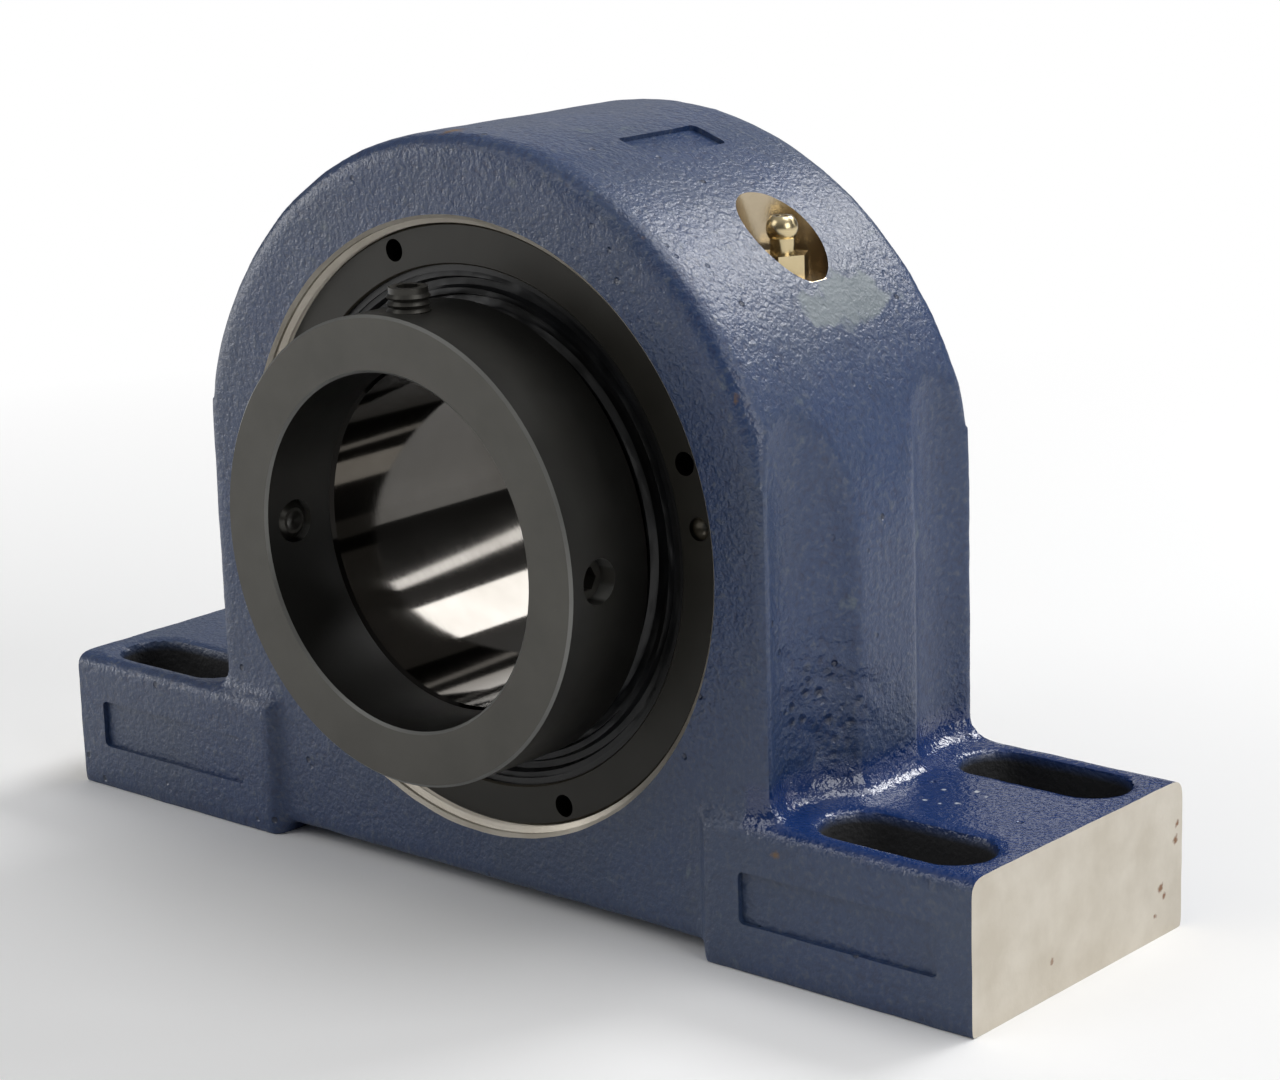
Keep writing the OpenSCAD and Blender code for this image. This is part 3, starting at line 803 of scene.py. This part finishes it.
def wear_masks(points):
    """Where the housing is dirty with painted shade in the slots, rusty, scuffed, wet, oil-stained with
    painted shade in the pocket, or pitted, from 0 to 1 for each point.
    """
    x, y, z = points.T
    radius = np.hypot(x, z - AXIS_Z)
    in_slot = smooth_step(slot_depth(x, y), -0.9 * MM, -0.3 * MM)
    below_top = smooth_step(FOOT_HEIGHT - z, 0.8 * MM, 3 * MM)
    near_rim = smooth_step(radius, ARCH_RADIUS - 3.6 * MM, ARCH_RADIUS - 1.2 * MM)
    near_front = smooth_step(-y, BODY_DEPTH / 2 - 3.4 * MM, BODY_DEPTH / 2 - 1.2 * MM)
    arc = ARCH_RADIUS * (np.arctan2(z - AXIS_Z, x) - SCUFF_ANGLE)
    from_scuff = np.hypot(arc / SCUFF_SIZE[0], (y - SCUFF_Y) / SCUFF_SIZE[1])
    on_foot = smooth_step(z, FOOT_HEIGHT - 2.5 * MM, FOOT_HEIGHT - 0.5 * MM)
    near_foot = smooth_step(FOOT_HEIGHT + 9 * MM - z, 0, 4 * MM)
    from_pocket = np.hypot(x - POCKET_X, y - POCKET_Y)
    from_pits = ((y - PIT_PLACE[0]) / PIT_SPREAD) ** 2 + ((z - PIT_PLACE[1]) / PIT_SPREAD) ** 2
    return {
        "grime_and_shade": in_slot * below_top,
        "rust": 0.52 * near_rim * near_front * (z > AXIS_Z),
        "scuff": smooth_step(1.6 - from_scuff, 0, 1.2) * (radius > ARCH_RADIUS - 2 * MM),
        "gloss": on_foot * near_foot * (x > GLOSS_SIDE_X),
        "pocket_stain_and_shade": smooth_step(POCKET_RADIUS + 0.3 * MM - from_pocket, 0, 0.2 * MM) * (z > POCKET_BASE),
        "pitted": np.exp(-from_pits / 2) * (np.abs(x) > POCKED_SIDE_X),
    }


def build_housing():
    item = solid_blank()
    soften(item)
    roughen(item.data)
    cut_ends(item.data)
    machine(item)
    mesh = item.data
    mesh.materials.clear()
    mesh.materials.append(paint_material())
    mesh.materials.append(bare_iron_material())
    for face in mesh.polygons:
        face.material_index = 1 if is_bare(face) else 0
    mesh.shade_smooth()
    mesh.set_sharp_from_angle(angle=SHARP_ANGLE)
    for name, values in wear_masks(mesh_points(mesh.vertices)).items():
        layer = mesh.attributes.new(name, "FLOAT", "POINT")
        layer.data.foreach_set("value", values)
    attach(item, "base")
    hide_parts("housing")


# Bearing pieces
def dress(names, material):
    for name in names:
        mesh = NODES[name].data
        mesh.materials.clear()
        mesh.materials.append(material)


def dress_bearing():
    for name, colors, roughness, metallic, pieces in PLAIN_METALS:
        dress(pieces, metal_material(name, colors, roughness, metallic))
    dress(["locking_collar"], oxide_material("collar_oxide", COLLAR_COLORS, COLLAR_ROUGH))
    dress(["threaded_cover"], oxide_material("cover_oxide", COVER_COLORS, COVER_ROUGH))
    dress(["inner_ring"], polished_material())
    dress(["front_seal", "rear_seal"], rubber_material())


# Studio
def floor_material():
    """Pale floor that keeps the shadow near the object and turns plain white further out."""
    material, tree, shader = new_material("pale_floor")
    light = add(tree, "ShaderNodeLightPath").outputs
    seen = calc(tree, "ADD", light["Is Camera Ray"], light["Is Glossy Ray"])
    seen = calc(tree, "MINIMUM", calc(tree, "ADD", seen, light["Is Transmission Ray"]), 1.0)
    tree.links.new(mix_color(tree, seen, FLOOR_BOUNCE, FLOOR_SEEN), shader.inputs["Base Color"])
    shader.inputs["Roughness"].default_value = 0.9
    shader.inputs["Specular IOR Level"].default_value = 0.0
    distance = add(tree, "ShaderNodeVectorMath", operation="LENGTH")
    tree.links.new(object_coords(tree), distance.inputs[0])
    far = ramp(tree, distance.outputs["Value"], WHITE_START, WHITE_END)
    white = add(tree, "ShaderNodeEmission", Strength=1.0)
    blend = add(tree, "ShaderNodeMixShader")
    tree.links.new(calc(tree, "MULTIPLY", far, seen), blend.inputs[0])
    tree.links.new(shader.outputs[0], blend.inputs[1])
    tree.links.new(white.outputs[0], blend.inputs[2])
    tree.links.new(blend.outputs[0], tree.nodes["Material Output"].inputs["Surface"])
    return material


def build_stage():
    bpy.ops.mesh.primitive_plane_add(size=FLOOR_SIZE, location=(0, 0, 0))
    floor = bpy.context.object
    floor.name = "floor"
    floor.data.materials.append(floor_material())


def build_world():
    """A dim sky that grows brighter overhead."""
    world = bpy.data.worlds.new("studio")
    bpy.context.scene.world = world
    world.use_nodes = True
    tree = world.node_tree
    direction = parts_of(tree, add(tree, "ShaderNodeTexCoord").outputs["Generated"])
    height = calc(tree, "MAXIMUM", direction["Z"], 0.0)
    level = calc(tree, "MULTIPLY", calc(tree, "MULTIPLY", height, height), SKY_RISE)
    background = tree.nodes["Background"]
    background.inputs["Color"].default_value = (1, 1, 1, 1)
    tree.links.new(calc(tree, "ADD", level, SKY_LOW), background.inputs["Strength"])


def soft_box(name, direction, distance, size, radiance):
    """A rectangular lamp aimed at the object, with its brightness given as radiance."""
    light = bpy.data.lights.new(name, "AREA")
    light.shape = "RECTANGLE"
    light.size = size[0]
    light.size_y = size[1]
    light.energy = radiance * math.pi * size[0] * size[1]
    item = bpy.data.objects.new(name, light)
    aim = Vector(direction).normalized()
    item.location = Vector((0, 0, AXIS_Z)) + aim * distance
    item.rotation_euler = (-aim).to_track_quat("-Z", "Y").to_euler()
    bpy.context.scene.collection.objects.link(item)


def build_lights():
    build_world()
    for name, direction, distance, size, radiance in SOFT_BOXES:
        soft_box(name, direction, distance, size, radiance)


def build_camera():
    data = bpy.data.cameras.new("camera")
    data.lens = CAMERA_LENS
    data.sensor_width = SENSOR_WIDTH
    data.sensor_fit = "HORIZONTAL"
    item = bpy.data.objects.new("camera", data)
    turn = Matrix.Rotation(math.radians(CAMERA_YAW), 4, "Z")
    tip = Matrix.Rotation(math.radians(90 - CAMERA_PITCH), 4, "X")
    roll = Matrix.Rotation(math.radians(CAMERA_ROLL), 4, "Z")
    item.matrix_world = Matrix.Translation(CAMERA_PLACE) @ turn @ tip @ roll
    bpy.context.scene.collection.objects.link(item)
    bpy.context.scene.camera = item


bpy.context.scene.view_settings.view_transform = "Standard"
build_camera()
build_lights()
build_stage()
build_housing()
dress_bearing()
